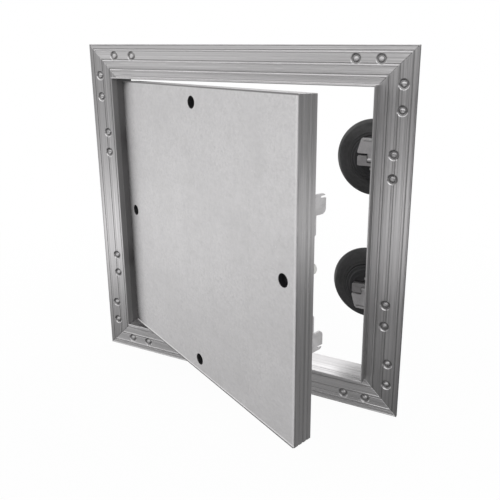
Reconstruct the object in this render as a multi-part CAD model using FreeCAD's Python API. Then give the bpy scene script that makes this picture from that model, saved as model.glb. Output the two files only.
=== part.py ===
import FreeCAD, Part
import math
import os

V = FreeCAD.Vector

# Drywall access panel, millimetres. X across the opening, Y into the wall, Z up.
# The origin is the centre of the opening, in the front plane of the frame's flange.

# Frame section
OUTER = 500.0
FLANGE = 50.0
LIP_STAND = 12.5
WALL_T = 2.0
FLANGE_T = 1.8
RETURN_DEPTH = 30.0
EDGE_RIM_DEPTH = 4.5
EDGE_RIM_T = 1.4
RIDGES_FROM_EDGE = (9.0, 24.5, 38.0)
RIDGE_H = 0.35
GROOVE_D = 0.45
STEP_Y = -2.5
STEP_D = 0.6
MITRE_V = 0.5
KEY_RIB_Y = 22.0
HALF = OUTER / 2.0
OPEN_HALF = HALF - FLANGE

# Pressed clinch points, measured from the outer corner and the outer edge
CORNER_CLINCH_AT = (46.0, 78.0)
CORNER_CLINCH_IN = 17.0
SIDE_CLINCH_AT = (133.0, 164.0)
SIDE_CLINCH_IN = 24.5
CLINCH_R = 7.2
CLINCH_D = 1.5
SIDE_Z = HALF - sum(SIDE_CLINCH_AT) / 2.0

# Corner bracket
CORNER_LEG = 98.0
CORNER_EDGE = 5.0
CORNER_W = 22.0
CORNER_T = 3.0

# Door
GAP = 3.0
DOOR_HALF = OPEN_HALF - GAP
PLATE_Y = 2.0
PLATE_T = 1.0
DOOR_T = 27.0
CHANNEL_WALL = 1.6
CHANNEL_FRONT = 9.0
CHANNEL_BACK = 16.0
CHANNEL_HOOK = 4.0
CHANNEL_GROOVES_Y = (22.0, 16.0, 10.0)
PLATE_HOLE_R = 8.0
PLATE_HOLE_IN = 20.0
HOLE_CAP_R = 10.7
HOLE_CAP_DEPTH = 9.5
HOLE_CAP_T = 1.0
STIFFENER_W = 52.0
STIFFENER_TOP = 26.0
STIFFENER_H = 12.0
STIFFENER_T = 1.2
KEY_LEG = 42.0
KEY_W = 10.0
DOOR_BACK = PLATE_Y + DOOR_T

# Hinge: a curved arm slides in a guide round an axis at the lip's front edge
AXIS_X = 1.5 - OPEN_HALF
AXIS_Y = 0.5 - LIP_STAND
REST_OPEN_DEG = 25.0
ARM_R = 60.0
ARM_T = 6.0
ARM_H = 16.0
ARM_TAIL_DEG = 64.0
ARM_ROOT_DEG = math.degrees(math.acos((DOOR_BACK + 2.0 - AXIS_Y) / ARM_R))
ARM_ROOT_X = AXIS_X + ARM_R * math.sin(math.radians(ARM_ROOT_DEG))
STOP_PIN_DEG = 60.0
STOP_PIN_R = 1.5
STOP_PIN_REACH = ARM_H / 2.0 + 3.0
FOOT_T = 2.5
FOOT_X = (2.0 - DOOR_HALF, ARM_ROOT_X + 7.0)
FOOT_H = ARM_H + 12.0
FOOT_SCREWS = 9.0
SLIDE_GAP = 0.3
GUIDE_X = (10.0 - OPEN_HALF, 30.0 - OPEN_HALF)
GUIDE_Y = (AXIS_Y + ARM_R - 12.0, AXIS_Y + ARM_R + 6.0)
GUIDE_H = ARM_H + 10.0
GUIDE_SCREWS = 10.5
SHEET = 2.0
BRACKET_TAB = FLANGE - 13.0
BRACKET_H = 52.0
BRACKET_NECK_H = GUIDE_H + 8.0

# Push latch on the latch-side carrier
PLUNGER_X = OPEN_HALF - 9.0
LATCH_Z = SIDE_Z - 28.5
LATCH_X = (PLUNGER_X - 7.0, OPEN_HALF + 2.0 * WALL_T)
LATCH_H = 22.0
PLUNGER_HEAD_R = 6.0
PLUNGER_HEAD_T = 2.0
PLUNGER_R = 3.5
PLUNGER_FIT = 0.06
PLUNGER_TRAVEL = 4.0
STRIKER_CLEAR = 0.3
LATCH_BACK_T = 0.8
PLUNGER_STOP = 0.4
SPRING_SEAT = 2.6
SPRING_BORE_R = 2.7
SPRING_WIRE = 0.7
SPRING_R = 1.9
SPRING_TURNS = 5
SPRING_CLEAR = 0.15

# Striker on the door's free edge
STRIKER_X = PLUNGER_X - SHEET / 2.0
STRIKER_Z = (LATCH_Z - 27.0, LATCH_Z + 31.5)
STRIKER_HOOK_Z = (LATCH_Z - 4.0, LATCH_Z + 19.0)
STRIKER_REACH = 20.0
STRIKER_ARM = 6.0
STRIKER_SLIVER = 3.5
STRIKER_ROUND = 6.0
BUFFER_Z = 9.0
BUFFER_R = 6.5
BUFFER_L = 7.0
LATCH_FRONT = DOOR_BACK + STRIKER_REACH + STRIKER_CLEAR
LATCH_Y = (LATCH_FRONT + PLUNGER_HEAD_T + PLUNGER_TRAVEL + 0.3, LATCH_FRONT + 18.2)

# Suction cup pull parked on the same carrier
CUP_X = OPEN_HALF - 20.0
CUP_Z = SIDE_Z - 4.5
CUP_R = 56.0
CAP_R = 32.0
CAP_BOSS_R = 12.0
TAB_Y = LATCH_Y[1] + 0.5
CAP_T = 9.0
CUP_FRONT = TAB_Y + CAP_T
CUP_WEB = 6.0
STEM_R = 8.0
STEM_FIT = 0.06
STEM_TRAVEL = 1.8
YOKE_HALF = 18.0
YOKE_Z = (-8.0, 6.0)
YOKE_T = 7.0
PIVOT_Y = TAB_Y - STEM_TRAVEL - 0.4 - YOKE_T / 2.0
PIN_R = 1.98
LEVER_T = 3.0
LEVER_FROM = 9.0
LEVER_L = 31.0
LEVER_BASE = 19.0
LEVER_TIP = 14.0
LEVER_EYE_R = 3.2
LEVER_TONGUE = 8.0
CLEVIS_SLOT = 8.6


def box(x0, x1, y0, y1, z0, z1):
    return Part.makeBox(x1 - x0, y1 - y0, z1 - z0, V(x0, y0, z0))


def rod(r, start, end):
    d = end.sub(start)
    return Part.makeCylinder(r, d.Length, start, d)


def slab_xz(points, y0, y1):
    loop = [V(x, y0, z) for x, z in points]
    return Part.Face(Part.makePolygon(loop + loop[:1])).extrude(V(0, y1 - y0, 0))


def slab_xy(points, z0, z1):
    loop = [V(x, y, z0) for x, y in points]
    return Part.Face(Part.makePolygon(loop + loop[:1])).extrude(V(0, 0, z1 - z0))


def slab_yz(points, x0, x1):
    loop = [V(x0, y, z) for y, z in points]
    return Part.Face(Part.makePolygon(loop + loop[:1])).extrude(V(x1 - x0, 0, 0))


def turned(points, cx, cz):
    loop = [V(r, y, 0) for r, y in points]
    face = Part.Face(Part.makePolygon(loop + loop[:1]))
    solid = face.revolve(V(0, 0, 0), V(0, 1, 0), 360)
    solid.translate(V(cx, 0, cz))
    return solid


def spun(shape, degrees):
    out = shape.copy()
    out.rotate(V(0, 0, 0), V(0, 1, 0), degrees)
    return out


def lower(shape):
    return shape.mirror(V(0, 0, 0), V(0, 0, 1))


def at_rest(shape):
    out = shape.copy()
    out.rotate(V(AXIS_X, AXIS_Y, 0), V(0, 0, 1), -REST_OPEN_DEG)
    return out


def mitre(half):
    reach = half + 10.0
    return slab_xz([(-reach, reach), (reach, reach), (0, 0)], -40, 80)


def frame_section():
    # u runs from the opening outwards, y into the wall
    deep = STEP_D + 0.4
    points = [(STEP_D, RETURN_DEPTH), (STEP_D, STEP_Y + 1.4), (deep, STEP_Y + 1.1), (deep, STEP_Y)]
    points += [(0, STEP_Y), (0, 0.5 - LIP_STAND), (0.5, -LIP_STAND), (WALL_T - 0.5, -LIP_STAND)]
    points += [(WALL_T, 0.5 - LIP_STAND), (WALL_T, -1.0), (WALL_T + 0.3, -0.3), (WALL_T + 1.0, 0)]
    for edge in sorted(RIDGES_FROM_EDGE, reverse=True):
        c = FLANGE - edge
        points += [(c - 1.1, 0), (c - 0.6, -RIDGE_H), (c + 0.6, -RIDGE_H), (c + 1.1, 0)]
        points += [(c + 1.7, 0), (c + 2.0, GROOVE_D), (c + 2.6, GROOVE_D), (c + 2.9, 0)]
    points += [(FLANGE - 1.8, 0), (FLANGE - 1.3, -0.4), (FLANGE - 0.5, -0.4), (FLANGE, 0.2)]
    points += [(FLANGE, EDGE_RIM_DEPTH), (FLANGE - EDGE_RIM_T, EDGE_RIM_DEPTH)]
    points += [(FLANGE - EDGE_RIM_T, FLANGE_T), (WALL_T, FLANGE_T)]
    points += [(WALL_T, KEY_RIB_Y), (2 * WALL_T, KEY_RIB_Y)]
    points += [(2 * WALL_T, KEY_RIB_Y + 2.0), (WALL_T, KEY_RIB_Y + 2.0), (WALL_T, RETURN_DEPTH)]
    return points


def clinch(x, inset):
    # a ring pressed into the face, with a low round pip left standing in it
    r = CLINCH_R
    d = CLINCH_D
    profile = [(0, -2), (r, -2), (r, 0), (0.90 * r, 0.25 * d), (0.82 * r, 0.45 * d), (0.76 * r, 0.9 * d)]
    profile += [(0.66 * r, d), (0.55 * r, 0.95 * d), (0.48 * r, 0.5 * d)]
    profile += [(0.38 * r, 0.2 * d), (0.2 * r, 0.05 * d), (0, 0)]
    return turned(profile, x, HALF - inset)


def mitre_groove():
    # one V along the joint of two members, on the flange's face
    half = MITRE_V / 2.0
    length = (FLANGE - 2.0 * WALL_T) * math.sqrt(2.0)
    bar = box(0, length + 4.0, -half, half, -half, half)
    bar.rotate(V(0, 0, 0), V(1, 0, 0), 45)
    bar.rotate(V(0, 0, 0), V(0, 1, 0), -45)
    start = OPEN_HALF + 2.0 * WALL_T
    bar.translate(V(start, 0, start))
    return bar


def frame_member(with_side_points):
    loop = [(y, OPEN_HALF + u) for u, y in frame_section()]
    member = slab_yz(loop, -HALF - 1, HALF + 1).common(mitre(HALF))
    spots = [(at, CORNER_CLINCH_IN) for at in CORNER_CLINCH_AT]
    if with_side_points:
        spots += [(at, SIDE_CLINCH_IN) for at in SIDE_CLINCH_AT]
    for at, inset in spots:
        for side in (-1, 1):
            member = member.cut(clinch(side * (HALF - at), inset))
    groove = mitre_groove()
    return member.cut(groove).cut(groove.mirror(V(0, 0, 0), V(1, 0, 0)))


def corner_bracket():
    a = CORNER_EDGE
    b = CORNER_EDGE + CORNER_W
    c = CORNER_LEG
    outline = [(a + 4, a), (c - 3, a), (c, a + 3), (c, b - 3), (c - 3, b), (b + 4, b)]
    outline += [(b, b + 4), (b, c - 3), (b - 3, c), (a + 3, c), (a, c - 3), (a, a + 4)]
    points = [(HALF - p, HALF - q) for p, q in outline]
    return slab_xz(points, FLANGE_T, FLANGE_T + CORNER_T)


def side_carrier(depth, inboard, z_low, z_high, neck):
    # tab behind the flange, wall outside the return, and a rear wall turned inwards
    wall = OPEN_HALF + 2 * WALL_T
    tab = box(-wall - BRACKET_TAB, -wall, FLANGE_T, FLANGE_T + SHEET, z_low, z_high)
    low = SIDE_Z - neck / 2.0
    high = SIDE_Z + neck / 2.0
    outline = [(FLANGE_T, z_low), (24, z_low), (38, min(low, z_high - neck)), (depth, low)]
    outline += [(depth, high), (38, high), (24, z_high), (FLANGE_T, z_high)]
    side = slab_yz(outline, -wall - SHEET, -wall)
    rear = box(-wall - SHEET, inboard, depth - SHEET, depth, low, high)
    return tab.fuse([side, rear]).removeSplitter()


def hinge_bracket():
    depth = GUIDE_Y[1] + SHEET
    body = side_carrier(depth, GUIDE_X[1] + 2, SIDE_Z - BRACKET_H / 2, SIDE_Z + BRACKET_H / 2, BRACKET_NECK_H)
    arm_y = AXIS_Y + ARM_R
    clear = ARM_H / 2.0 + 4.0
    slot = box(-OPEN_HALF - 12, -OPEN_HALF - 1, arm_y - 5.5, arm_y + 4.8, SIDE_Z - clear, SIDE_Z + clear)
    return body.cut(slot)


def arc_ring(inner, outer, z_half, low_deg, high_deg):
    # angles are from +Y, positive towards +X, about the hinge axis
    a = math.radians(90 - high_deg)
    b = math.radians(90 - low_deg)
    centre = V(AXIS_X, AXIS_Y, 0)
    up = V(0, 0, 1)
    arcs = []
    for r in (inner, outer):
        circle = Part.Circle(centre, up, r)
        arcs.append(Part.Arc(circle, a, b).toShape())
    ends = []
    for t in (a, b):
        p = V(AXIS_X + inner * math.cos(t), AXIS_Y + inner * math.sin(t), 0)
        q = V(AXIS_X + outer * math.cos(t), AXIS_Y + outer * math.sin(t), 0)
        ends.append(Part.makeLine(p, q))
    wire = Part.Wire(Part.__sortEdges__([arcs[0], ends[1], arcs[1], ends[0]]))
    ring = Part.Face(wire).extrude(V(0, 0, 2 * z_half))
    ring.translate(V(0, 0, SIDE_Z - z_half))
    return ring


def on_arc(r, deg):
    t = math.radians(deg)
    return AXIS_X + r * math.sin(t), AXIS_Y + r * math.cos(t)


def guide_block():
    block = box(GUIDE_X[0], GUIDE_X[1], GUIDE_Y[0], GUIDE_Y[1], SIDE_Z - GUIDE_H / 2, SIDE_Z + GUIDE_H / 2)
    half = ARM_T / 2 + SLIDE_GAP
    slot = arc_ring(ARM_R - half, ARM_R + half, ARM_H / 2 + SLIDE_GAP, 0, 40)
    return block.cut(slot)


def curved_arm():
    half = ARM_T / 2
    arm = arc_ring(ARM_R - half, ARM_R + half, ARM_H / 2, -ARM_TAIL_DEG, ARM_ROOT_DEG)
    foot = box(FOOT_X[0], FOOT_X[1], DOOR_BACK, DOOR_BACK + FOOT_T, SIDE_Z - FOOT_H / 2, SIDE_Z + FOOT_H / 2)
    base = DOOR_BACK + 1.0
    root = ARM_ROOT_X
    outline = [(root - 12.5, base), (root + 6.5, base), (root - 1.5, base + 6.0), (root - 9.5, base + 6.0)]
    web = slab_xy(outline, SIDE_Z - ARM_H / 2, SIDE_Z + ARM_H / 2)
    x, y = on_arc(ARM_R, -STOP_PIN_DEG)
    pin = rod(STOP_PIN_R, V(x, y, SIDE_Z - STOP_PIN_REACH), V(x, y, SIDE_Z + STOP_PIN_REACH))
    body = arm.fuse([foot, web, pin]).removeSplitter()
    return body.cut(box(-OPEN_HALF, 0, DOOR_BACK - 20, DOOR_BACK, 0, OPEN_HALF))


def screw(x, y, z, into, head_r=3.6, head_t=1.8, shank_r=1.9, shank_l=2.4):
    # into is +1 where the shank points to -Y and -1 where it points to +Y
    head = rod(head_r, V(x, y, z), V(x, y + into * head_t, z))
    shank = rod(shank_r, V(x, y, z), V(x, y - into * shank_l, z))
    return head.fuse(shank).removeSplitter()


def arm_screws():
    x = 7.5 - DOOR_HALF
    depth = FOOT_T + CHANNEL_WALL
    spots = (SIDE_Z - FOOT_SCREWS, SIDE_Z + FOOT_SCREWS)
    return [screw(x, DOOR_BACK + FOOT_T, z, 1, shank_l=depth) for z in spots]


def guide_screws():
    x = (GUIDE_X[0] + GUIDE_X[1]) / 2
    depth = GUIDE_Y[1] + SHEET
    spots = (SIDE_Z - GUIDE_SCREWS, SIDE_Z + GUIDE_SCREWS)
    return [screw(x, depth, z, 1, shank_l=4.6, shank_r=1.6) for z in spots]


def drilled(shape, screws):
    for one in screws:
        shape = shape.cut(one)
    return shape


def door_plate():
    plate = box(-DOOR_HALF, DOOR_HALF, PLATE_Y, PLATE_Y + PLATE_T, -DOOR_HALF, DOOR_HALF)
    at = DOOR_HALF - PLATE_HOLE_IN
    for x, z in ((0, at), (0, -at), (at, 0), (-at, 0)):
        plate = plate.cut(rod(PLATE_HOLE_R, V(x, PLATE_Y - 1, z), V(x, PLATE_Y + PLATE_T + 1, z)))
    edges = [e for e in plate.Edges if abs(e.BoundBox.YLength - PLATE_T) < 1e-6 and e.BoundBox.XLength < 1e-6]
    corners = [e for e in edges if abs(abs(e.CenterOfMass.x) - DOOR_HALF) < 1e-6]
    return plate.makeFillet(1.5, corners)


def channel_section():
    front = PLATE_Y + PLATE_T
    t = CHANNEL_WALL
    points = [(0.4, front), (CHANNEL_FRONT, front), (CHANNEL_FRONT, front + t), (t, front + t)]
    points += [(t, DOOR_BACK - t), (CHANNEL_BACK - t, DOOR_BACK - t)]
    points += [(CHANNEL_BACK - t, DOOR_BACK - t - CHANNEL_HOOK), (CHANNEL_BACK, DOOR_BACK - t - CHANNEL_HOOK)]
    points += [(CHANNEL_BACK, DOOR_BACK - 0.4), (CHANNEL_BACK - 0.4, DOOR_BACK)]
    points += [(0.8, DOOR_BACK), (0, DOOR_BACK - 0.8)]
    for y in CHANNEL_GROOVES_Y:
        points += [(0, y + 0.8), (0.35, y + 0.45), (0.35, y - 0.45), (0, y - 0.8)]
    points += [(0, front + 0.4)]
    return points


def door_member():
    loop = [(y, DOOR_HALF - u) for u, y in channel_section()]
    return slab_yz(loop, -DOOR_HALF - 1, DOOR_HALF + 1).common(mitre(DOOR_HALF))


def corner_key():
    a = CHANNEL_WALL
    b = a + KEY_W
    c = KEY_LEG
    outline = [(a, a), (c, a), (c, b), (b + 3, b), (b, b + 3), (b, c), (a, c)]
    points = [(DOOR_HALF - p, DOOR_HALF - q) for p, q in outline]
    key = slab_xz(points, PLATE_Y + PLATE_T + CHANNEL_WALL, DOOR_BACK - CHANNEL_WALL)
    pocket = [(a + 2, c - 14), (b - 2, c - 14), (b - 2, c - 4), (a + 2, c - 4)]
    for flip in (False, True):
        spots = [(q, p) if flip else (p, q) for p, q in pocket]
        key = key.cut(slab_xz([(DOOR_HALF - p, DOOR_HALF - q) for p, q in spots], 14, 40))
    return key


def stiffener():
    w = STIFFENER_W / 2
    top = STIFFENER_TOP / 2
    t = STIFFENER_T
    base = PLATE_Y + PLATE_T
    high = base + STIFFENER_H
    right = [(w, base), (w, base + t), (top + 2.6, base + t), (top + 0.6, high)]
    inner = [(top - 0.8, high - t), (top + 1.4, base)]
    points = right + [(-x, y) for x, y in reversed(right)]
    points += [(-x, y) for x, y in reversed(inner)] + inner
    length = DOOR_HALF - CHANNEL_FRONT - 0.3
    rail = slab_xy(points, -length, length)
    for share in (-0.6, -0.3, 0, 0.3, 0.6):
        z = share * DOOR_HALF
        rail = rail.cut(rod(top / 2.2, V(0, high - 4, z), V(0, high + 2, z)))
    return rail


def striker():
    x0 = STRIKER_X
    x1 = STRIKER_X + SHEET
    base = DOOR_BACK
    low, high = STRIKER_Z
    h0, h1 = STRIKER_HOOK_Z
    r = STRIKER_ROUND
    tip = base + STRIKER_REACH
    foot = box(x0 - 9, x1, base, base + SHEET, low + 2, high - 2)
    arm = box(x0, x1, base, base + STRIKER_ARM, low + 3, h0 + 1)
    arm = arm.fuse(rod(3.0, V(x0, base + 3, low + 3), V(x1, base + 3, low + 3)))
    sliver = box(x0, x1, base, base + STRIKER_SLIVER, h1 - 1, high)
    hook = box(x0, x1, base, tip - r, h0, h1)
    hook = hook.fuse(box(x0, x1, base, tip, h0 + r, h1 - r))
    for z in (h0 + r, h1 - r):
        hook = hook.fuse(rod(r, V(x0, tip - r, z), V(x1, tip - r, z)))
    body = foot.fuse([arm, sliver, hook]).removeSplitter()
    notch = box(x0 - 1, x1 + 1, tip - 7.5, tip + 1, h1 - 5.2, h1 - 2.4)
    return body.cut(notch)


def striker_screws():
    low, high = STRIKER_Z
    depth = SHEET + 1.2
    return [screw(STRIKER_X - 4.8, DOOR_BACK + SHEET, z, 1, shank_l=depth) for z in (low + 12.0, high - 6.5)]


def edge_buffer():
    tip = DOOR_BACK + BUFFER_L
    profile = [(0, DOOR_BACK), (BUFFER_R, DOOR_BACK), (BUFFER_R, tip - 2.5)]
    profile += [(BUFFER_R - 1.2, tip - 0.6), (BUFFER_R - 3.0, tip), (0, tip)]
    return turned(profile, STRIKER_X - 1, BUFFER_Z)


def latch_carrier():
    wall = OPEN_HALF + 2 * WALL_T
    depth = TAB_Y + SHEET
    z0 = SIDE_Z - BRACKET_H / 2
    z1 = SIDE_Z + BRACKET_H / 2
    tab = box(wall, wall + BRACKET_TAB, FLANGE_T, FLANGE_T + SHEET, z0, z1)
    floor = LATCH_Z - LATCH_H / 2
    outline = [(FLANGE_T, z0), (22, z0), (44, floor), (depth, floor), (depth, CUP_Z + 18)]
    outline += [(44, CUP_Z + 18), (24, z1), (FLANGE_T, z1)]
    side = slab_yz(outline, wall, wall + SHEET)
    half = CAP_BOSS_R + 6.0
    plate = [(wall + SHEET, CUP_Z - half), (wall + SHEET, CUP_Z + half), (CUP_X + 4, CUP_Z + half)]
    plate += [(CUP_X - 2, CUP_Z + half - 3), (CUP_X - 2, CUP_Z - half + 3), (CUP_X + 4, CUP_Z - half)]
    rear = slab_xz(plate, TAB_Y, depth)
    body = tab.fuse([side, rear]).removeSplitter()
    return body.cut(rod(CAP_BOSS_R + 0.02, V(CUP_X, TAB_Y - 1, CUP_Z), V(CUP_X, depth + 1, CUP_Z)))


def latch_housing():
    half = LATCH_H / 2
    x0, x1 = LATCH_X
    y0, y1 = LATCH_Y
    body = box(x0, x1, y0, y1, LATCH_Z - half, LATCH_Z + half)
    edges = [e for e in body.Edges if e.BoundBox.YLength > 1 and e.BoundBox.XMax < x0 + 1]
    body = body.makeFillet(3.0, edges)
    back = y1 - LATCH_BACK_T
    return body.cut(rod(PLUNGER_R + PLUNGER_FIT, V(PLUNGER_X, y0 - 1, LATCH_Z), V(PLUNGER_X, back, LATCH_Z)))


def latch_plunger():
    # the stem is hollow behind its head and holds the spring
    front = LATCH_FRONT
    stem_end = LATCH_Y[1] - LATCH_BACK_T - PLUNGER_TRAVEL - PLUNGER_STOP
    profile = [(0, front), (PLUNGER_HEAD_R - 1, front), (PLUNGER_HEAD_R, front + 1)]
    profile += [(PLUNGER_HEAD_R, front + PLUNGER_HEAD_T), (PLUNGER_R, front + PLUNGER_HEAD_T)]
    profile += [(PLUNGER_R, stem_end), (SPRING_BORE_R, stem_end)]
    profile += [(SPRING_BORE_R, front + SPRING_SEAT), (0, front + SPRING_SEAT)]
    return turned(profile, PLUNGER_X, LATCH_Z)


def latch_spring():
    # a coil between the plunger's hollow and the back of the housing, its wire's section six-sided
    start = LATCH_FRONT + SPRING_SEAT + SPRING_CLEAR + SPRING_WIRE / 2.0
    end = LATCH_Y[1] - LATCH_BACK_T - SPRING_CLEAR - SPRING_WIRE / 2.0
    path = Part.Wire(Part.makeHelix((end - start) / SPRING_TURNS, end - start, SPRING_R))
    half = SPRING_WIRE / 2.0
    turns = [math.radians(60 * k) for k in range(7)]
    section = [V(SPRING_R + half * math.cos(t), 0, half * math.sin(t)) for t in turns]
    coil = path.makePipeShell([Part.makePolygon(section)], True, True)
    coil.rotate(V(0, 0, 0), V(1, 0, 0), -90)
    coil.translate(V(PLUNGER_X, start, LATCH_Z))
    return coil


def cup_cap():
    back = TAB_Y + SHEET
    profile = [(STEM_R + STEM_FIT, TAB_Y), (CAP_BOSS_R - 0.6, TAB_Y)]
    profile += [(CAP_BOSS_R, TAB_Y + 0.6), (CAP_BOSS_R, back)]
    r = CAP_R
    profile += [(0.62 * r, back), (0.66 * r, back + 0.9), (0.81 * r, back + 1.6), (0.86 * r, back + 3.4)]
    profile += [(r - 1.2, back + 4.0), (r, back + 5.2), (r, CUP_FRONT), (STEM_R + STEM_FIT, CUP_FRONT)]
    return turned(profile, CUP_X, CUP_Z)


def cup_rubber():
    f = CUP_FRONT
    r = CUP_R
    profile = [(0, f), (0.61 * r, f), (0.63 * r, f + 0.8), (0.68 * r, f + 0.8), (0.70 * r, f + 1.4)]
    profile += [(0.80 * r, f + 2.6), (0.91 * r, f + 5.2), (r - 1, f + 8.6), (r, f + 10.2)]
    profile += [(r - 0.4, f + 11.2), (r - 1.6, f + 11.4), (0.89 * r, f + 8.6), (0.80 * r, f + 6.8)]
    profile += [(0.68 * r, f + CUP_WEB), (0, f + CUP_WEB)]
    return turned(profile, CUP_X, CUP_Z)


def cup_stem():
    end = CUP_FRONT - STEM_TRAVEL - 0.5
    y0 = PIVOT_Y - YOKE_T / 2.0
    y1 = PIVOT_Y + YOKE_T / 2.0
    low, high = YOKE_Z
    yoke = box(CUP_X - YOKE_HALF, CUP_X + YOKE_HALF, y0, y1, CUP_Z + low, CUP_Z + high)
    rims = [e for e in yoke.Edges if e.BoundBox.YLength > 1]
    yoke = yoke.makeFillet(2.0, rims)
    stem = rod(STEM_R, V(CUP_X, y1 - 1.0, CUP_Z), V(CUP_X, end, CUP_Z))
    half = CLEVIS_SLOT / 2.0
    slot = box(CUP_X - half, CUP_X + half, y0 - 1, y1 + 0.6, CUP_Z - LEVER_EYE_R - 0.4, CUP_Z + 12)
    hole = rod(2.0, V(CUP_X - YOKE_HALF - 1, PIVOT_Y, CUP_Z), V(CUP_X + YOKE_HALF + 1, PIVOT_Y, CUP_Z))
    return yoke.fuse(stem).removeSplitter().cut(slot).cut(hole)


def cup_pin():
    reach = YOKE_HALF - 1.5
    return rod(PIN_R, V(CUP_X - reach, PIVOT_Y, CUP_Z), V(CUP_X + reach, PIVOT_Y, CUP_Z))


def cup_lever():
    half = LEVER_TONGUE / 2
    y0 = PIVOT_Y - LEVER_T / 2
    y1 = PIVOT_Y + LEVER_T / 2
    eye = rod(LEVER_EYE_R, V(CUP_X - half, PIVOT_Y, CUP_Z), V(CUP_X + half, PIVOT_Y, CUP_Z))
    tongue = box(CUP_X - half, CUP_X + half, y0, y1, CUP_Z, CUP_Z + LEVER_FROM + 2)
    base = LEVER_BASE
    tip = LEVER_TIP
    blade = [(-base + 1, LEVER_FROM), (base - 1, LEVER_FROM), (base, LEVER_FROM + 2), (tip, LEVER_L - 2)]
    blade += [(tip - 2, LEVER_L), (2 - tip, LEVER_L), (-tip, LEVER_L - 2), (-base, LEVER_FROM + 2)]
    plate = slab_xz([(CUP_X + x, CUP_Z + z) for x, z in blade], y0, y1)
    top = CUP_Z + LEVER_L
    lip = box(CUP_X - tip + 3, CUP_X + tip - 3, y0 - 2.4, y0, top - 3.2, top - 0.6)
    body = eye.fuse([tongue, plate, lip]).removeSplitter()
    hole = rod(2.05, V(CUP_X - 12, PIVOT_Y, CUP_Z), V(CUP_X + 12, PIVOT_Y, CUP_Z))
    return body.cut(hole)


def hole_cap(x, z):
    # a closed cup behind one hole of the plate
    front = PLATE_Y + PLATE_T
    back = front + HOLE_CAP_DEPTH
    inner = PLATE_HOLE_R + 0.6
    profile = [(inner, front), (HOLE_CAP_R, front), (HOLE_CAP_R, front + 1.6), (inner + 1.0, front + 2.2)]
    profile += [(inner + 1.0, back - 0.8), (inner + 0.2, back), (0, back), (0, back - HOLE_CAP_T)]
    profile += [(inner, back - HOLE_CAP_T)]
    return turned(profile, x, z)


def export(name, shape):
    shape.exportStep("parts/%s.step" % name)
    print("%-24s solids %d valid %s volume %.0f" % (name, len(shape.Solids), shape.isValid(), shape.Volume))


def main():
    os.makedirs("parts", exist_ok=True)

    rail = frame_member(False)
    stile = frame_member(True)
    export("frame_top_rail", rail)
    export("frame_bottom_rail", spun(rail, 180))
    export("frame_latch_stile", spun(stile, 90))
    export("frame_hinge_stile", spun(stile, -90))
    bracket = corner_bracket()
    corners = (("tr", 0), ("br", 90), ("bl", 180), ("tl", 270))
    for name, turn in corners:
        export("corner_bracket_" + name, spun(bracket, turn))

    member = door_member()
    turns = (("top", 0), ("bottom", 180), ("free", 90), ("hinge", -90))
    members = {name: spun(member, turn) for name, turn in turns}
    top_arm_screws = arm_screws()
    top_striker_screws = striker_screws()
    door_screws = []
    for group in (top_arm_screws, top_striker_screws):
        door_screws += group + [lower(s) for s in group]
    members["hinge"] = drilled(members["hinge"], door_screws[:4])
    members["free"] = drilled(members["free"], door_screws[4:])
    for name, shape in members.items():
        export("door_channel_" + name, at_rest(shape))
    key = corner_key()
    for name, turn in corners:
        export("corner_key_" + name, at_rest(spun(key, turn)))
    export("door_plate", at_rest(door_plate()))
    export("door_stiffener", at_rest(stiffener()))
    export("edge_buffer", at_rest(edge_buffer()))
    at = DOOR_HALF - PLATE_HOLE_IN
    for name, x, z in (("top", 0, at), ("bottom", 0, -at), ("free", at, 0), ("hinge", -at, 0)):
        export("hole_cap_" + name, at_rest(hole_cap(x, z)))
    arm = drilled(curved_arm(), top_arm_screws)
    hook = drilled(striker(), top_striker_screws)
    export("hinge_arm_upper", at_rest(arm))
    export("hinge_arm_lower", at_rest(lower(arm)))
    export("striker_upper", at_rest(hook))
    export("striker_lower", at_rest(lower(hook)))
    export("door_screws", at_rest(Part.makeCompound(door_screws)))

    top_guide_screws = guide_screws()
    for name, place in (("upper", lambda s: s), ("lower", lower)):
        export("hinge_bracket_" + name, place(drilled(hinge_bracket(), top_guide_screws)))
        export("hinge_guide_" + name, place(drilled(guide_block(), top_guide_screws)))
        export("latch_carrier_" + name, place(latch_carrier()))
        export("latch_housing_" + name, place(latch_housing()))
        export("latch_plunger_" + name, place(latch_plunger()))
        export("latch_spring_" + name, place(latch_spring()))
        export("cup_cap_" + name, place(cup_cap()))
        export("cup_rubber_" + name, place(cup_rubber()))
        export("cup_stem_" + name, place(cup_stem()))
        export("cup_pin_" + name, place(cup_pin()))
        export("cup_lever_" + name, place(cup_lever()))
    export("guide_screws", Part.makeCompound(top_guide_screws + [lower(s) for s in top_guide_screws]))


main()
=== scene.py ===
import math

import bmesh
import bpy
from mathutils import Matrix, Vector


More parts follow.
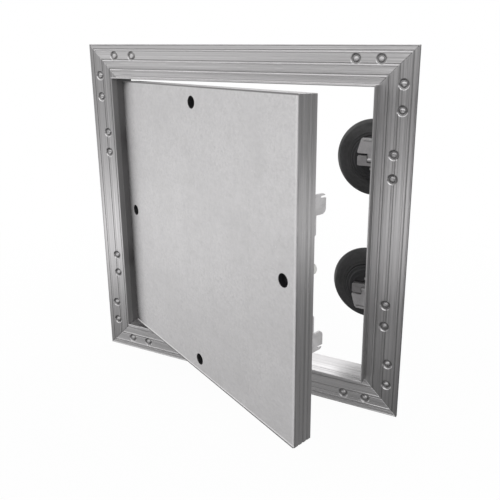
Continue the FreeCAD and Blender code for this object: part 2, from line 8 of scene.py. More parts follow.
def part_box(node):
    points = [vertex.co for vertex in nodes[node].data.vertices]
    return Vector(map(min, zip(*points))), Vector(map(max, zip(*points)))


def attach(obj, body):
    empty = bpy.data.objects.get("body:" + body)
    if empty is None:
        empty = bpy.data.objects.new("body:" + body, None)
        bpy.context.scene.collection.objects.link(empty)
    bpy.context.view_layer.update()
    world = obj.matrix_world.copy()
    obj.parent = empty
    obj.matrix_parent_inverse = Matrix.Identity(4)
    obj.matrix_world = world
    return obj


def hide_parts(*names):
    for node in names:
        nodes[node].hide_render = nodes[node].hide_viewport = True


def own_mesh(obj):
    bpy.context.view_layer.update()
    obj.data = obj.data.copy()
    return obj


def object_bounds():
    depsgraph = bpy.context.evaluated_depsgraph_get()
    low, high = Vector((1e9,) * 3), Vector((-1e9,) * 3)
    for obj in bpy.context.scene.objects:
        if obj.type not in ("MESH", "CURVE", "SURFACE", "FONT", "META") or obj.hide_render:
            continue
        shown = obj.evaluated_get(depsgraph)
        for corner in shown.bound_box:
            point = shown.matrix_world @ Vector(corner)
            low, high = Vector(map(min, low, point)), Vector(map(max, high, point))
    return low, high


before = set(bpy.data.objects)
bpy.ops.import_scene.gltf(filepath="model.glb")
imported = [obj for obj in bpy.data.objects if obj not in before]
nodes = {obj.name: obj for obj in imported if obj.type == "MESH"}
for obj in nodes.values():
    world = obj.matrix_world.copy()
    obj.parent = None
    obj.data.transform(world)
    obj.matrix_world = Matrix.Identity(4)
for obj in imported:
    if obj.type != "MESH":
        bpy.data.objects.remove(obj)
cad_lo, cad_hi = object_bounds()

# How far the door stands open at rest
OPEN_DEG = 25.0


# Shader building blocks

BRIGHTEST = 0.92
FINE_BUMP = 0.0002
COARSE_BUMP = 0.0004
SPANGLE = 0.0035
EDGE_DOT = (0.995, 0.80)
PRESSED_DEPTH = 0.00045
PRESSED_SOFT = 0.00035
# Widths and shares of the painted highlight along a plate's fold and of the painted shade along its lower and
# upper edges
FOLD_W = 0.0034
FOLD_SOFT = 0.0012
FREE_FOLD_HIGHLIGHT = 0.3
EDGE_SHADE_W = 0.0015
EDGE_SHADE_SOFT = 0.0006
EDGE_SHADE_SHARE = 0.95


class Tree:
    """Short calls for the nodes of a material or of the world."""

    def __init__(self, owner):
        owner.use_nodes = True
        self.tree = owner.node_tree

    def node(self, kind, **settings):
        made = self.tree.nodes.new(kind)
        for key, value in settings.items():
            setattr(made, key, value)
        return made

    def feed(self, value, target):
        """Links an output to a socket, or sets the socket to a number, vector or colour."""
        if isinstance(value, bpy.types.NodeSocket):
            self.tree.links.new(value, target)
        elif target.type == "RGBA":
            target.default_value = (*value, 1.0)
        else:
            target.default_value = value

    def feed_all(self, made, **values):
        """The same for several inputs of one node, with _ for a space in a name."""
        for key, value in values.items():
            self.feed(value, made.inputs[key.replace("_", " ")])
        return made

    def remap(self, value, low, high, to_low=0.0, to_high=1.0, **settings):
        made = self.node("ShaderNodeMapRange", **settings)
        self.feed_all(made, Value=value, From_Min=low, From_Max=high, To_Min=to_low, To_Max=to_high)
        return made.outputs["Result"]

    def math(self, kind, a, b):
        made = self.node("ShaderNodeMath", operation=kind)
        self.feed(a, made.inputs[0])
        self.feed(b, made.inputs[1])
        return made.outputs[0]

    def mix(self, factor, a, b, blend="MIX"):
        """A mix of two colours."""
        made = self.node("ShaderNodeMix", data_type="RGBA", blend_type=blend)
        for index, value in ((0, factor), (6, a), (7, b)):
            self.feed(value, made.inputs[index])
        return made.outputs[2]

    def mix_numbers(self, factor, a, b):
        made = self.node("ShaderNodeMix")
        for index, value in ((0, factor), (2, a), (3, b)):
            self.feed(value, made.inputs[index])
        return made.outputs[0]

    def mix_shaders(self, factor, a, b):
        made = self.node("ShaderNodeMixShader")
        for index, value in enumerate((factor, a, b)):
            self.feed(value, made.inputs[index])
        return made.outputs[0]

    def axis_of(self, vector, axis):
        parts = self.node("ShaderNodeSeparateXYZ")
        self.feed(vector, parts.inputs[0])
        return parts.outputs["XYZ".index(axis)]

    def vector_math(self, kind, *vectors):
        """A number made from one vector or two."""
        made = self.node("ShaderNodeVectorMath", operation=kind)
        for index, value in enumerate(vectors):
            self.feed(value, made.inputs[index])
        return made.outputs["Value"]


class Shader(Tree):
    """A principled material with masks and patterns in the part's own directions."""

    def __init__(self, name, base, rough, metallic=1.0, turn_deg=0.0):
        self.mat = bpy.data.materials.new(name)
        super().__init__(self.mat)
        self.bsdf = self.tree.nodes["Principled BSDF"]
        self.turn = math.radians(turn_deg)
        self.feed_all(self.bsdf, Metallic=metallic, Roughness=rough, Base_Color=base)
        self.coords = self.node("ShaderNodeTexCoord").outputs["Object"]

    def surface(self, color, roughness, normal):
        self.feed_all(self.bsdf, Base_Color=color, Roughness=roughness, Normal=normal)

    def place(self, size):
        """Coordinates in the part's own directions, divided by a feature size in metres."""
        mapping = self.node("ShaderNodeMapping", vector_type="TEXTURE")
        scale = size if isinstance(size, tuple) else (size, size, size)
        self.feed_all(mapping, Vector=self.coords, Rotation=(0, 0, self.turn), Scale=scale)
        return mapping.outputs["Vector"]

    def noise(self, size, detail=3.0, rough=0.55, distortion=0.0):
        made = self.node("ShaderNodeTexNoise")
        self.feed_all(made, Vector=self.place(size), Scale=1.0)
        self.feed_all(made, Detail=detail, Roughness=rough, Distortion=distortion)
        return made.outputs["Fac"]

    def flakes(self, size):
        """A grey for each flake of zinc, different from its neighbours'."""
        cells = self.node("ShaderNodeTexVoronoi")
        self.feed_all(cells, Vector=self.place(size), Scale=1.0)
        flat = self.node("ShaderNodeRGBToBW")
        self.feed(cells.outputs["Color"], flat.inputs[0])
        return flat.outputs[0]

    def face_normal(self):
        return self.node("ShaderNodeNewGeometry").outputs["Normal"]

    def edge(self, radius):
        """The normal rounded over sharp edges, and a mask: 1 on such an edge, 0 on a flat face."""
        rounded = self.feed_all(self.node("ShaderNodeBevel", samples=4), Radius=radius).outputs["Normal"]
        return rounded, self.remap(self.vector_math("DOT_PRODUCT", rounded, self.face_normal()), *EDGE_DOT)

    def bump(self, height, strength, normal, distance=FINE_BUMP):
        made = self.node("ShaderNodeBump")
        self.feed_all(made, Strength=strength, Distance=distance, Height=height, Normal=normal)
        return made.outputs["Normal"]

    def cavity(self, distance, low=0.35, high=0.95):
        """0 in grooves and corners narrower than the distance, 1 on open faces."""
        made = self.node("ShaderNodeAmbientOcclusion", samples=6)
        self.feed_all(made, Distance=distance)
        return self.remap(made.outputs["AO"], low, high)

    def facing(self, axis):
        """1 on faces square to one of the part's own directions."""
        turned = self.node("ShaderNodeVectorRotate", rotation_type="Z_AXIS")
        self.feed_all(turned, Vector=self.face_normal(), Angle=-self.turn)
        return self.remap(self.math("ABSOLUTE", self.axis_of(turned.outputs[0], axis), 0.0), 0.6, 0.9)

    def depth_past(self, y, soft):
        """1 where the part lies behind a plane across Y."""
        return self.remap(self.axis_of(self.coords, "Y"), y - soft, y + soft)

    def pressed(self):
        """1 deep in what is pressed into the frame's front face, 0 on the face."""
        forward = self.remap(self.axis_of(self.face_normal(), "Y"), -0.15, -0.45)
        return self.math("MULTIPLY", forward, self.depth_past(PRESSED_DEPTH, PRESSED_SOFT))

    def fold_highlight_and_edge_shade(self, color, plate, tone):
        """A painted highlight on the fold along the plate's lower and free edges, with dark lines of painted
        shade below it and along the upper edge.
        """
        across = Matrix.Rotation(self.turn, 3, "Z") @ Vector((1.0, 0.0, 0.0))
        places = [v.co for v in plate.data.vertices]
        foot = min(p.z for p in places)
        head = max(p.z for p in places)
        free = max(p.dot(across) for p in places)
        up = self.axis_of(self.coords, "Z")
        sideways = self.vector_math("DOT_PRODUCT", self.coords, across)
        low_fold_highlight = self.remap(up, foot + FOLD_W + FOLD_SOFT, foot + FOLD_W)
        free_fold_highlight = self.remap(sideways, free - FOLD_W, free - FOLD_W + FOLD_SOFT, 0.0, FREE_FOLD_HIGHLIGHT)
        low_edge_shade = self.remap(up, foot + EDGE_SHADE_W + EDGE_SHADE_SOFT, foot + EDGE_SHADE_W, 0.0, EDGE_SHADE_SHARE)
        high_edge_shade = self.remap(up, head - EDGE_SHADE_W - EDGE_SHADE_SOFT, head - EDGE_SHADE_W, 0.0, EDGE_SHADE_SHARE)
        fold_highlit = self.mix(self.math("MAXIMUM", low_fold_highlight, free_fold_highlight), color, shade(tone, 1.4))
        return self.mix(self.math("MAXIMUM", low_edge_shade, high_edge_shade), fold_highlit, shade(tone, 0.32))

    def brushed(self, along, amount):
        """Reflections that spread across the working lines, which run along one of the part's directions."""
        across = Vector((1, 1, 0)) if along == "Z" else Vector((0, 1, 1))
        line = self.node("ShaderNodeCombineXYZ")
        for slot, value in zip(line.inputs, Matrix.Rotation(self.turn, 3, "Z") @ across):
            self.feed(value, slot)
        self.feed_all(self.bsdf, Tangent=line.outputs[0], Anisotropic=amount)


def grey(v):
    """A grey a little warmer than a plain one."""
    return (v * 1.008, v * 0.992, v)


def shade(tone, share):
    """A share of a tone, no brighter than metal is."""
    return grey(min(tone * share, BRIGHTEST))


# Materials. The shares are of each material's own tone, and the sizes are in metres.

def extruded(name, along, tone, turn_deg=0.0, wall_shade=1.0, stretch=0.85, groove_shade=0.40):
    """Mill finish aluminium with die lines along one axis, edges worn and with a painted highlight, painted
    shade in grooves and dimples, and painted shade on the walls that face across X where the wall share is
    below 1.
    """
    s = Shader(name, grey(tone), 0.42, 1.0, turn_deg)
    line_size = tuple(0.45 if axis == along else 0.0011 for axis in "XYZ")
    band_size = tuple(3.0 if axis == along else 0.0032 for axis in "XYZ")
    lines = s.noise(line_size, 4.0, 0.6)
    bands = s.noise(band_size, 2.0)
    cloud = s.noise(0.05, 4.0, 0.6, 0.4)
    scuff = s.noise(0.004, 6.0, 0.7)
    rounded, edge = s.edge(0.0005)
    fine = s.mix(s.remap(lines, 0.3, 0.7), shade(tone, 0.74), shade(tone, 1.14))
    wide = s.mix(s.remap(bands, 0.38, 0.62), shade(tone, 0.72), shade(tone, 1.18))
    drawn = s.mix(s.remap(cloud, 0.35, 0.65), fine, wide)
    # Edges lighter: partly wear, partly a painted highlight.
    worn_and_highlit = s.mix(s.math("MULTIPLY", edge, 0.22), drawn, shade(tone, 1.25))
    # Painted shade deep in the dimples pressed into the front face.
    dimple_shaded = s.mix(s.math("MULTIPLY", s.pressed(), 0.72), worn_and_highlit, shade(tone, 0.30))
    # Painted shade in grooves and corners narrower than the distance.
    color = s.mix(s.cavity(0.0025), shade(tone, groove_shade), dimple_shaded)
    scuffed = s.math("MULTIPLY", s.remap(scuff, 0.62, 0.75), s.remap(cloud, 0.45, 0.6))
    gloss = s.math("ADD", s.remap(lines, 0.3, 0.7, 0.26, 0.38), s.math("MULTIPLY", scuffed, 0.16))
    # Painted shade on the walls that face across X, and a deeper painted shadow on their part behind the
    # step.
    if wall_shade < 1.0:
        shaded_wall_tone = tone * wall_shade
        wall = s.facing("X")
        shaded_wall_color = s.mix(s.remap(lines, 0.2, 0.8), shade(shaded_wall_tone, 0.9), grey(shaded_wall_tone))
        rear_wall_shadow = s.math("MULTIPLY", wall, s.depth_past(-0.0025, 0.0004))
        color = s.mix(rear_wall_shadow, s.mix(wall, color, shaded_wall_color), shade(shaded_wall_tone, 0.72))
        gloss = s.math("ADD", gloss, s.math("MULTIPLY", wall, 0.3))
    s.surface(color, gloss, s.bump(lines, 0.16, rounded))
    s.brushed(along, stretch)
    return s.mat


def sheet_metal(name, tone, turn_deg, plate=None):
    """Zinc coated sheet with a fine spangle and soft clouds, painted shade where other parts stand close,
    edges worn and with a painted highlight, and on a plate a painted highlight and painted shade along its
    border.
    """
    s = Shader(name, grey(tone), 0.45, 0.30, turn_deg)
    flakes = s.flakes(SPANGLE)
    grain = s.noise(0.0045, 5.0, 0.7)
    patch = s.noise(0.011, 5.0, 0.65, 0.5)
    cloud = s.noise(0.085, 4.0, 0.6, 0.3)
    roll = s.noise((0.30, 0.004, 0.003), 3.0, 0.5)
    speck = s.noise(0.0034, 2.0, 0.5)
    mottle = s.noise(0.016, 6.0, 0.72, 1.2)
    rounded, edge = s.edge(0.0008)
    spangled = s.mix(s.remap(flakes, 0.2, 0.8), shade(tone, 0.91), shade(tone, 1.07))
    grained = s.mix(s.remap(grain, 0.36, 0.64), shade(tone, 0.84), shade(tone, 1.10))
    color = s.mix(s.remap(patch, 0.25, 0.60), spangled, grained)
    for pattern, low, high, amount, share in (
        (cloud, 0.36, 0.64, 0.7, 0.88), (roll, 0.5, 0.8, 0.25, 1.1),
        (speck, 0.68, 0.78, 0.6, 1.28), (mottle, 0.36, 0.64, 0.4, 1.12),
    ):
        color = s.mix(s.math("MULTIPLY", s.remap(pattern, low, high), amount), color, shade(tone, share))
    # Painted shade where other parts stand close, such as the shadow of the frame's lip along the plate's
    # hinge edge.
    shaded = s.mix(s.cavity(0.042, 0.66, 0.95), shade(tone, 0.12), color)
    # Edges lighter: partly wear, partly a painted highlight.
    worn_and_highlit = s.mix(s.math("MULTIPLY", edge, 0.5), shaded, shade(tone, 1.25))
    # On a plate: a painted highlight along the fold, and painted shade along its lower and upper edges.
    color = s.fold_highlight_and_edge_shade(worn_and_highlit, plate, tone) if plate else worn_and_highlit
    s.surface(color, s.remap(patch, 0.25, 0.75, 0.34, 0.50), s.bump(grain, 0.10, rounded))
    return s.mat


def plated(name, tone, metallic=1.0):
    """Zinc plated pressed steel."""
    s = Shader(name, grey(tone), 0.34, metallic)
    grain = s.noise(0.002, 5.0, 0.65)
    cloud = s.noise(0.014, 4.0, 0.6, 0.6)
    rounded, edge = s.edge(0.0006)
    clouded = s.mix(s.remap(cloud, 0.35, 0.65), shade(tone, 0.85), shade(tone, 1.03))
    # Edges lighter: partly wear, partly a painted highlight.
    worn_and_highlit = s.mix(s.math("MULTIPLY", edge, 0.5), clouded, shade(tone, 1.3))
    # Painted shade in grooves and corners narrower than the distance.
    color = s.mix(s.cavity(0.003), shade(tone, 0.3), worn_and_highlit)
    s.surface(color, s.remap(grain, 0.3, 0.7, 0.26, 0.46), s.bump(grain, 0.12, rounded))
    return s.mat


def cast(name, tone):
    """Die cast metal with a fine rough skin."""
    s = Shader(name, grey(tone), 0.5)
    grain = s.noise(0.0012, 5.0, 0.7)
    rounded, edge = s.edge(0.0008)
    skin = s.mix(s.remap(grain, 0.3, 0.7), shade(tone, 0.82), shade(tone, 1.05))
    # Edges lighter: partly wear, partly a painted highlight.
    color = s.mix(s.math("MULTIPLY", edge, 0.5), skin, shade(tone, 1.3))
    s.surface(color, s.remap(grain, 0.3, 0.7, 0.44, 0.6), s.bump(grain, 0.3, rounded, COARSE_BUMP))
    return s.mat


def moulded(name, low, high, rough, bump, specular=0.5, hollow=None):
    """Moulded plastic or rubber, with a fine texture and handling marks, edges worn and with a painted
    highlight, and painted shade in hollows of a given size.
    """
    s = Shader(name, low, rough, 0.0)
    s.feed_all(s.bsdf, Specular_IOR_Level=specular)
    grain = s.noise(0.0009, 4.0, 0.6)
    cloud = s.noise(0.012, 4.0, 0.6, 0.5)
    dust = s.noise(0.0028, 5.0, 0.7)
    rounded, edge = s.edge(0.0006)
    clouded = s.mix(s.remap(cloud, 0.35, 0.7), low, high)
    dusty_color = tuple(c * 1.35 for c in high)
    dusty = s.mix(s.math("MULTIPLY", s.remap(dust, 0.40, 0.72), 0.5), clouded, dusty_color)
    # Edges lighter: partly wear, partly a painted highlight.
    color = s.mix(s.math("MULTIPLY", edge, 0.25), dusty, tuple(min(1.0, c * 1.6) for c in high))
    # Painted shade in hollows narrower than the given size, such as the cup's dish.
    if hollow:
        color = s.mix(s.cavity(hollow, 0.66, 0.97), tuple(c * 0.42 for c in low), color)
    s.surface(color, s.remap(cloud, 0.3, 0.7, rough - 0.06, rough + 0.1), s.bump(grain, bump, rounded))
    return s.mat


alu_x = extruded("aluminium_along_x", "X", 0.65, stretch=0.6)
alu_z = extruded("aluminium_along_z", "Z", 0.66, wall_shade=0.62)
door_x = extruded("door_aluminium_along_x", "X", 0.56, -OPEN_DEG)
door_z = extruded("door_aluminium_along_z", "Z", 0.68, -OPEN_DEG, groove_shade=0.72)
galvanised = sheet_metal("galvanised_sheet", 0.66, -OPEN_DEG)
plate_metal = sheet_metal("galvanised_plate", 0.63, -OPEN_DEG, nodes["door_plate"])
zinc = plated("zinc_steel", 0.58)
key_metal = cast("cast_key", 0.50)
pale = moulded("pale_plastic", (0.62, 0.62, 0.60), (0.68, 0.68, 0.66), 0.42, 0.08)
black = moulded("black_plastic", (0.022, 0.022, 0.024), (0.034, 0.034, 0.036), 0.42, 0.2)
rubber = moulded("black_rubber", (0.032, 0.032, 0.033), (0.052, 0.052, 0.053), 0.36, 0.12, 0.6, 0.022)
screw_metal = plated("screw_steel", 0.60)
spring_metal = plated("spring_steel", 0.50)
lever_zinc = plated("lever_zinc", 0.72, metallic=0.6)
bright_zinc = plated("bright_zinc", 0.66, metallic=0.35)

finish = {
    "frame_top_rail": alu_x, "frame_bottom_rail": alu_x,
    "frame_latch_stile": alu_z, "frame_hinge_stile": alu_z,
    "door_channel_top": door_x, "door_channel_bottom": door_x,
    "door_channel_free": door_z, "door_channel_hinge": door_z,
    "door_plate": plate_metal, "door_stiffener": galvanised,
    "edge_buffer": pale, "guide_screws": screw_metal, "door_screws": screw_metal,
    "latch_spring_upper": spring_metal, "latch_spring_lower": spring_metal,
}
finish_by_start = (
    ("corner_bracket", zinc), ("hinge_bracket", zinc), ("latch_carrier", zinc), ("hinge_arm", zinc),
    ("striker", bright_zinc), ("cup_stem", zinc), ("cup_lever", lever_zinc), ("cup_pin", screw_metal),
    ("corner_key", key_metal), ("hinge_guide", pale), ("latch_plunger", pale),
    ("latch_housing", black), ("cup_cap", black), ("hole_cap", black), ("cup_rubber", rubber),
)
for name, node in nodes.items():
    mat = finish.get(name)
    if mat is None:
        mat = next(m for start, m in finish_by_start if name.startswith(start))
    node.data.materials.clear()
    node.data.materials.append(mat)


# Pieces made finer than their solids: screws, springs and the suction cups' turned parts

WELD = 1e-6


def mesh_object(name, points, faces):
    mesh = bpy.data.meshes.new(name)
    mesh.from_pydata(points, [], faces)
    mesh.update()
    made = bpy.data.objects.new(name, mesh)
    bpy.context.scene.collection.objects.link(made)
    return made


def stand_for(node_name, made, mat, body):
    """Gives a piece its finish and body, and hides the node it stands for. Only its flat ends stay flat
    shaded.
    """
    for polygon in made.data.polygons:
        polygon.use_smooth = len(polygon.vertices) <= 4
    made.data.materials.append(mat)
    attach(made, body)
    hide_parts(node_name)


def ring(radius, steps):
    """Points round a circle, as pairs."""
    angles = [2 * math.pi * step / steps for step in range(steps)]
    return [(radius * math.cos(angle), radius * math.sin(angle)) for angle in angles]


def ring_faces(first, second, steps):
    """Quads between two rings of points, given by their first indices."""
    return [(first + k, first + (k + 1) % steps, second + (k + 1) % steps, second + k) for k in range(steps)]


def flipped(faces):
    return [tuple(reversed(face)) for face in faces]


def welded_copy(node):
    welded = bmesh.new()
    welded.from_mesh(node.data)
    bmesh.ops.remove_doubles(welded, verts=welded.verts, dist=WELD)
    return welded


def middle_of(name):
    low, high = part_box(name)
    return (Vector(low) + Vector(high)) / 2


def solids_in(node):
    """The points of each separate solid in a node."""
    welded = welded_copy(node)
    left = set(welded.verts)
    groups = []
    while left:
        front = [left.pop()]
        group = []
        while front:
            vert = front.pop()
            group.append(vert.co.copy())
            for edge in vert.link_edges:
                other = edge.other_vert(vert)
                if other in left:
                    left.remove(other)
                    front.append(other)
        groups.append(group)
    welded.free()
    return groups


SCREW_HEAD_T = 0.0018
SCREW_STEPS = 64
DOME_RINGS = 13
DOME_DROP = 0.28
RIM_PROFILE = ((0.98, 0.45), (1.0, 0.62))
RECESS_R = 0.0021
RECESS_HALF_W = 0.00045
RECESS_SOFT = 0.00012
RECESS_TAPER = 0.4
RECESS_DEPTH = 0.0012
SHANK_SHARE = 0.55


def recess(u, v):
    """Depth of a cross recess at a point of the head."""
    across = min(abs(u), abs(v))
    side = (RECESS_HALF_W + RECESS_SOFT - across) / (2 * RECESS_SOFT)
    end = (RECESS_R - math.hypot(u, v)) / (RECESS_TAPER * RECESS_R)
    return RECESS_DEPTH * max(0.0, min(1.0, side)) * max(0.0, min(1.0, end))


def screw_profile(r, top, low):
    """Radius and height of each ring of a domed head and its shank, from the middle of the head."""
    foot = top - SCREW_HEAD_T
    shares = [k / (DOME_RINGS + 1) for k in range(1, DOME_RINGS + 1)]
    dome = [(r * share, top - DOME_DROP * SCREW_HEAD_T * share ** 2) for share in shares]
    rim = [(r * share, top - drop * SCREW_HEAD_T) for share, drop in RIM_PROFILE]
    return dome + rim + [(r, foot), (r * SHANK_SHARE, foot), (r * SHANK_SHARE, low)]


def screw_mesh(points, outward):
    """A domed screw head with a cross recess and its shank, in the space of one solid."""
    turn = outward.to_track_quat("Z", "Y").to_matrix()
    local = [turn.transposed() @ p for p in points]
    low = Vector([min(p[k] for p in local) for k in range(3)])
    high = Vector([max(p[k] for p in local) for k in range(3)])
    profile = screw_profile((high.x - low.x) / 2, high.z, low.z)
    verts = [Vector((0.0, 0.0, high.z - RECESS_DEPTH))]
    for radius, z in profile:
        verts += [Vector((u, v, z - recess(u, v))) for u, v in ring(radius, SCREW_STEPS)]
    faces = [(0, 1 + k, 1 + (k + 1) % SCREW_STEPS) for k in range(SCREW_STEPS)]
    starts = [1 + index * SCREW_STEPS for index in range(len(profile))]
    for first, second in zip(starts, starts[1:]):
        faces += flipped(ring_faces(first, second, SCREW_STEPS))
    faces.append(tuple(starts[-1] + k for k in reversed(range(SCREW_STEPS))))
    centre = Vector(((low.x + high.x) / 2, (low.y + high.y) / 2, 0.0))
    return [turn @ (p + centre) for p in verts], faces


def screws(name, body, outward):
    points = []
    faces = []
    for group in solids_in(nodes[name]):
        more, quads = screw_mesh(group, outward)
        faces += [tuple(k + len(points) for k in quad) for quad in quads]
        points += more
    stand_for(name, mesh_object(name + "_detailed", points, faces), screw_metal, body)


SPRING_WIRE_R = 0.00035
SPRING_TURNS = 7.0
SPRING_CLOSED = 0.9
SPRING_CLOSED_PITCH = 2.1 * SPRING_WIRE_R
COIL_STEPS = 168
WIRE_SIDES = 12


def spring(name):
    """A round wire coil with a closed turn at each end, in the space of its solid."""
    low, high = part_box(name)
    middle = middle_of(name)
    coil_r = (high[0] - low[0]) / 2 - SPRING_WIRE_R
    length = high[1] - low[1] - 2 * SPRING_WIRE_R
    open_turns = SPRING_TURNS - 2 * SPRING_CLOSED
    open_pitch = (length - 2 * SPRING_CLOSED * SPRING_CLOSED_PITCH) / open_turns
    points = []
    for k in range(COIL_STEPS + 1):
        turn = SPRING_TURNS * k / COIL_STEPS
        opened = min(max(turn - SPRING_CLOSED, 0.0), open_turns)
        y = low[1] + SPRING_WIRE_R + (turn - opened) * SPRING_CLOSED_PITCH + opened * open_pitch
        angle = 2 * math.pi * turn
        for out, along in ring(SPRING_WIRE_R, WIRE_SIDES):
            r = coil_r + out
            points.append((middle.x + r * math.cos(angle), y + along, middle.z + r * math.sin(angle)))
    faces = [tuple(range(WIRE_SIDES))]
    for k in range(COIL_STEPS):
        faces += ring_faces(k * WIRE_SIDES, (k + 1) * WIRE_SIDES, WIRE_SIDES)
    faces.append(tuple(COIL_STEPS * WIRE_SIDES + k for k in reversed(range(WIRE_SIDES))))
    made = mesh_object(name + "_coil", points, faces)
    stand_for(name, made, spring_metal, "frame")
    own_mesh(made)


TURNED_STEPS = 144
MOULD_ROUND = 0.0005
LONGEST_ROUND = 0.4


def turned_outline(node, middle):
    """A turned solid's outline where it crosses the half plane on the +X side of its axis.

    It comes as radius and Y, and with it whether it is closed, as round a bore, or ends on the axis.
    """
    welded = welded_copy(node)
    side = {v for v in welded.verts if abs(v.co.z - middle.z) < WELD and v.co.x > middle.x}
    beside = {v: [e.other_vert(v) for e in v.link_edges if e.other_vert(v) in side] for v in side}
    ends = [v for v in side if len(beside[v]) == 1]
    here = min(ends or side, key=lambda v: (v.co.y, v.co.x))
    path = []
    while here is not None:
        path.append(here)
        here = next((v for v in beside[here] if v not in path), None)
    outline = [(v.co.x - middle.x, v.co.y) for v in path]
    welded.free()
    return outline, not ends


def rounded_outline(outline, closed):
    """The same outline with a small curve at each corner, and as wide and as long as before."""
    made = []
    for k, point in enumerate(outline):
        if not closed and k in (0, len(outline) - 1):
            made.append(point)
            continue
        corner = Vector(point)
        ways = [Vector(outline[k - 1]) - corner, Vector(outline[(k + 1) % len(outline)]) - corner]
        near, far = (corner + way * min(MOULD_ROUND / way.length, LONGEST_ROUND) for way in ways)
        made += [tuple(near), tuple((near + corner * 2 + far) / 4), tuple(far)]
    wide = max(r for r, y in outline) / max(r for r, y in made)
    foot, head = (end(y for r, y in outline) for end in (min, max))
    low, high = (end(y for r, y in made) for end in (min, max))
    return [(r * wide, foot + (y - low) * (head - foot) / (high - low)) for r, y in made]


def turned_piece(name, mat):
    """A turned solid again, in finer steps and with its corners eased."""
    middle = middle_of(name)
    outline, closed = turned_outline(nodes[name], middle)
    outline = rounded_outline(outline, closed)
    points = []
    for r, y in outline:
        points += [(middle.x + x, y, middle.z + z) for x, z in ring(r, TURNED_STEPS)]
    starts = [k * TURNED_STEPS for k in range(len(outline))]
    faces = []
    for first, second in zip(starts, starts[1:] + starts[:1] if closed else starts[1:]):
        faces += ring_faces(first, second, TURNED_STEPS)
    if not closed:
        faces.append(tuple(reversed(range(TURNED_STEPS))))
        faces.append(tuple(starts[-1] + k for k in range(TURNED_STEPS)))
    made = mesh_object(name + "_turned", points, faces)
    fixed = bmesh.new()
    fixed.from_mesh(made.data)
    bmesh.ops.recalc_face_normals(fixed, faces=fixed.faces)
    fixed.to_mesh(made.data)
    fixed.free()
    stand_for(name, made, mat, "frame")


inward = Vector((0.0, 1.0, 0.0))
screws("guide_screws", "frame", inward)
screws("door_screws", "door", Matrix.Rotation(math.radians(-OPEN_DEG), 3, "Z") @ inward)
spring("latch_spring_upper")
spring("latch_spring_lower")
for place in ("upper", "lower"):
    turned_piece("cup_rubber_" + place, rubber)
    turned_piece("cup_cap_" + place, black)


# Stage: floor, world, lamps, camera

FLOOR_GAP = 0.0006
FLOOR_Z = cad_lo.z - FLOOR_GAP
FLOOR_R = 6.0
FLOOR_RINGS = 12
FLOOR_STEPS = 48
FLOOR_TONE = 0.86
# Between these distances from the middle, the share of plain white that the camera sees goes from one
# level to the other. The rest is the lit floor, which shows the shadow.
FLOOR_FADE = (0.35, 1.1)
FLOOR_WHITE = (0.965, 1.0)


def floor_disc():
    points = [(0.0, 0.0, FLOOR_Z)]
    for index in range(1, FLOOR_RINGS + 1):
        points += [(x, y, FLOOR_Z) for x, y in ring(FLOOR_R * index / FLOOR_RINGS, FLOOR_STEPS)]
    faces = [(0, 1 + k, 1 + (k + 1) % FLOOR_STEPS) for k in range(FLOOR_STEPS)]
    for index in range(FLOOR_RINGS - 1):
        first = 1 + index * FLOOR_STEPS
        faces += flipped(ring_faces(first, first + FLOOR_STEPS, FLOOR_STEPS))
    return mesh_object("floor", points, faces)


def floor_material():
    mat = bpy.data.materials.new("floor_pale")
    t = Tree(mat)
    t.tree.nodes.clear()
    diffuse = t.feed_all(t.node("ShaderNodeBsdfDiffuse"), Color=(FLOOR_TONE,) * 3)
    white = t.node("ShaderNodeEmission")
    rays = t.node("ShaderNodeLightPath").outputs
    seen = t.math("MAXIMUM", rays["Is Camera Ray"], rays["Is Glossy Ray"])
    seen = t.math("MAXIMUM", seen, rays["Is Transmission Ray"])
    away = t.vector_math("LENGTH", t.node("ShaderNodeTexCoord").outputs["Object"])
    fade = t.remap(away, *FLOOR_FADE, *FLOOR_WHITE, interpolation_type="SMOOTHSTEP")
    mixed = t.mix_shaders(t.math("MULTIPLY", fade, seen), diffuse.outputs[0], white.outputs[0])
    t.feed(mixed, t.node("ShaderNodeOutputMaterial").inputs[0])
    return mat


floor = floor_disc()
floor.data.materials.append(floor_material())
floor.visible_glossy = False

SOFT_LIGHT = 0.70
# What metal reflects: brightness by height, from straight below at -1 to straight above at 1
GLOSS_BY_HEIGHT = (
    (-1.0, 0.08), (-0.60, 0.12), (-0.45, 0.20), (-0.30, 0.86), (-0.15, 0.38),
    (0.02, 0.26), (0.30, 0.95), (0.62, 1.1), (0.78, 0.42), (1.0, 0.26),
)
# From one X to another, the least brightness there
GLOSS_RIGHT = (0.05, 0.55, 0.0, 0.26)
# From one X to another, the strength there, near the floor and high up
GLOSS_SIDE_LOW = (-1.0, 1.0, 1.75, 0.75)
GLOSS_SIDE_HIGH = (-0.8, 0.0, 1.25, 1.75)
# The heights between which the first goes over into the second
GLOSS_RISE = (0.06, 0.30)


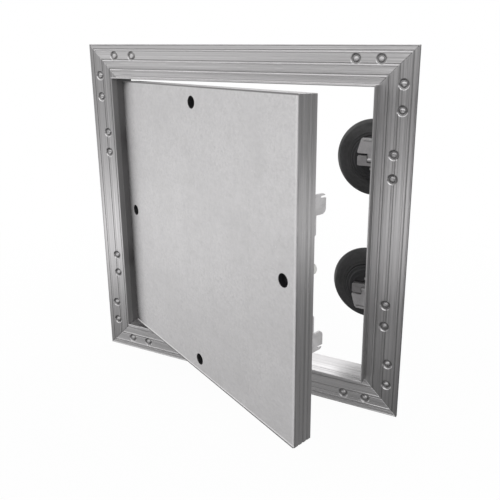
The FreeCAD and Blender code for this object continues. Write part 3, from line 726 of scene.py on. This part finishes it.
def studio_world():
    """White to the camera, an even soft light on the object, and bands of light for metal to reflect."""
    world = bpy.data.worlds.new("studio")
    t = Tree(world)
    t.tree.nodes.clear()
    towards = t.node("ShaderNodeTexCoord").outputs["Generated"]
    sideways, height = t.axis_of(towards, "X"), t.axis_of(towards, "Z")
    bands = t.node("ShaderNodeValToRGB")
    t.feed(t.remap(height, -1.0, 1.0), bands.inputs[0])
    stops = bands.color_ramp.elements
    for index, (at_height, level) in enumerate(GLOSS_BY_HEIGHT):
        at = (at_height + 1) / 2
        stop = stops[0] if index == 0 else stops.new(at)
        stop.position = at
        stop.color = (level, level, level, 1)
    stops.remove(stops[len(GLOSS_BY_HEIGHT)])
    bands.color_ramp.interpolation = "EASE"
    lit = t.mix(1.0, bands.outputs[0], t.remap(sideways, *GLOSS_RIGHT), "LIGHTEN")
    low_side, high_side = t.remap(sideways, *GLOSS_SIDE_LOW), t.remap(sideways, *GLOSS_SIDE_HIGH)
    strength = t.mix_numbers(t.remap(height, *GLOSS_RISE), low_side, high_side)
    rays = t.node("ShaderNodeLightPath").outputs
    even = t.feed_all(t.node("ShaderNodeBackground"), Color=(1, 1, 1), Strength=SOFT_LIGHT).outputs[0]
    gloss = t.feed_all(t.node("ShaderNodeBackground"), Color=lit, Strength=strength).outputs[0]
    white = t.feed_all(t.node("ShaderNodeBackground"), Color=(1, 1, 1), Strength=1.0).outputs[0]
    light = t.mix_shaders(rays["Is Glossy Ray"], even, gloss)
    seen = t.math("MAXIMUM", rays["Is Camera Ray"], rays["Is Transmission Ray"])
    t.feed(t.mix_shaders(seen, light, white), t.node("ShaderNodeOutputWorld").inputs[0])
    return world


bpy.context.scene.world = studio_world()


def area_lamp(name, place, size, power):
    """A square lamp that looks at the middle of the object."""
    data = bpy.data.lights.new(name, "AREA")
    data.shape = "RECTANGLE"
    data.size = data.size_y = size
    data.energy = power
    lamp = bpy.data.objects.new(name, data)
    bpy.context.scene.collection.objects.link(lamp)
    lamp.location = place
    lamp.rotation_mode = "QUATERNION"
    lamp.rotation_quaternion = (-Vector(place)).to_track_quat("-Z", "Y")
    lamp.visible_glossy = False


area_lamp("key", (-1.9, -1.7, 1.2), 2.2, 20)
area_lamp("fill", (1.8, -1.3, 1.0), 1.6, 5)
area_lamp("back", (0.6, 1.8, 1.5), 1.6, 9)

# The camera, in pixels of the photograph's frame, radians and metres
PICTURE_PX = 500.0
FOCAL_PX = 500.0
AXIS_PX = (310.0, 185.0)
SENSOR_W = 36.0
CLIP = (0.01, 50.0)
YAW, PITCH, ROLL = -0.37311, -0.22886, 0.01919
CAMERA_AT = (0.35316, -0.609155, 0.220215)

cam_data = bpy.data.cameras.new("camera")
cam = bpy.data.objects.new("camera", cam_data)
bpy.context.scene.collection.objects.link(cam)
cam_data.sensor_fit = "HORIZONTAL"
cam_data.sensor_width = SENSOR_W
cam_data.lens = FOCAL_PX / PICTURE_PX * SENSOR_W
cam_data.shift_x = (PICTURE_PX / 2 - AXIS_PX[0]) / PICTURE_PX
cam_data.shift_y = (AXIS_PX[1] - PICTURE_PX / 2) / PICTURE_PX
cam_data.clip_start, cam_data.clip_end = CLIP
ahead = Vector((math.sin(YAW) * math.cos(PITCH), math.cos(YAW) * math.cos(PITCH), math.sin(PITCH)))
level_right = Vector((math.cos(YAW), -math.sin(YAW), 0.0))
level_up = level_right.cross(ahead)
right = level_right * math.cos(ROLL) + level_up * math.sin(ROLL)
up = level_up * math.cos(ROLL) - level_right * math.sin(ROLL)
cam.matrix_world = Matrix.Translation(CAMERA_AT) @ Matrix((right, up, -ahead)).transposed().to_4x4()
bpy.context.scene.camera = cam
bpy.context.scene.view_settings.view_transform = "Standard"
